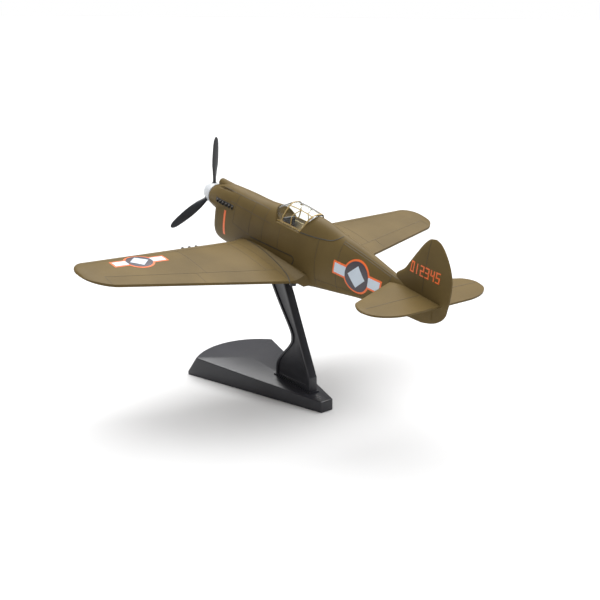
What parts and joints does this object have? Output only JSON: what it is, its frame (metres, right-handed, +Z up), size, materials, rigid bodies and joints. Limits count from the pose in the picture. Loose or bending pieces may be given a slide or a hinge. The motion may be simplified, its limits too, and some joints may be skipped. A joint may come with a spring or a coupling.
{
  "type": "propeller plane model",
  "caption": "Small die-cast display model of a single-engine fighter aeroplane with a turning propeller, on a black plastic stand with a leaning arm.",
  "frame": {"origin": "centre of the stand base's underside, on the table", "axes": "+X the way the nose points, +Y the pilot's left, +Z up"},
  "size_m": [0.1073, 0.1266, 0.0742],
  "materials": {
    "olive_paint": "satin olive drab paint on die-cast metal",
    "stand_black": "satin black injection-moulded plastic",
    "blade_black": "black-grey moulded plastic",
    "spinner_white": "off-white paint",
    "clear_canopy": "clear moulded plastic",
    "cockpit_green": "dull green",
    "seat_ochre": "dull ochre",
    "panel_black": "black",
    "exhaust_black": "matt black",
    "gun_black": "dark gunmetal",
    "radiator_dark": "dark grey",
    "bush_brass": "turned",
    "steel": "zinc-plated screws and drawn wire"
  },
  "bodies": {
    "stand": {"stand_base": "stand_black", "stand_arm": "stand_black", "arm_screw": "steel"},
    "aircraft": {"fuselage_left": "olive_paint", "fuselage_right": "olive_paint", "wing": "olive_paint", "belly_fairing": "olive_paint", "tailplane_left": "olive_paint", "tailplane_right": "olive_paint", "wing_screws": "steel", "exhausts_left": "exhaust_black", "exhausts_right": "exhaust_black", "gun_barrels_left": "gun_black", "gun_barrels_right": "gun_black", "radiator_insert": "radiator_dark", "cockpit_tub": "cockpit_green", "pilot_seat": "seat_ochre", "instrument_panel": "panel_black", "control_stick": "panel_black", "canopy_glass": "clear_canopy", "nose_bush": "bush_brass"},
    "propeller": {"propeller": "blade_black", "spinner": "spinner_white", "propeller_shaft": "steel", "shaft_collar": "bush_brass"}
  },
  "joints": [
    {"name": "aircraft_lift", "type": "slide", "parent": "stand", "child": "aircraft", "axis": [-0.1513, 0, 0.9885], "range_m": [0, 0.007]},
    {"name": "propeller_spin", "type": "hinge", "parent": "aircraft", "child": "propeller", "pos_m": [0.02935, 0, 0.05615], "axis": [0.9885, 0, 0.1513], "continuous": true}
  ]
}
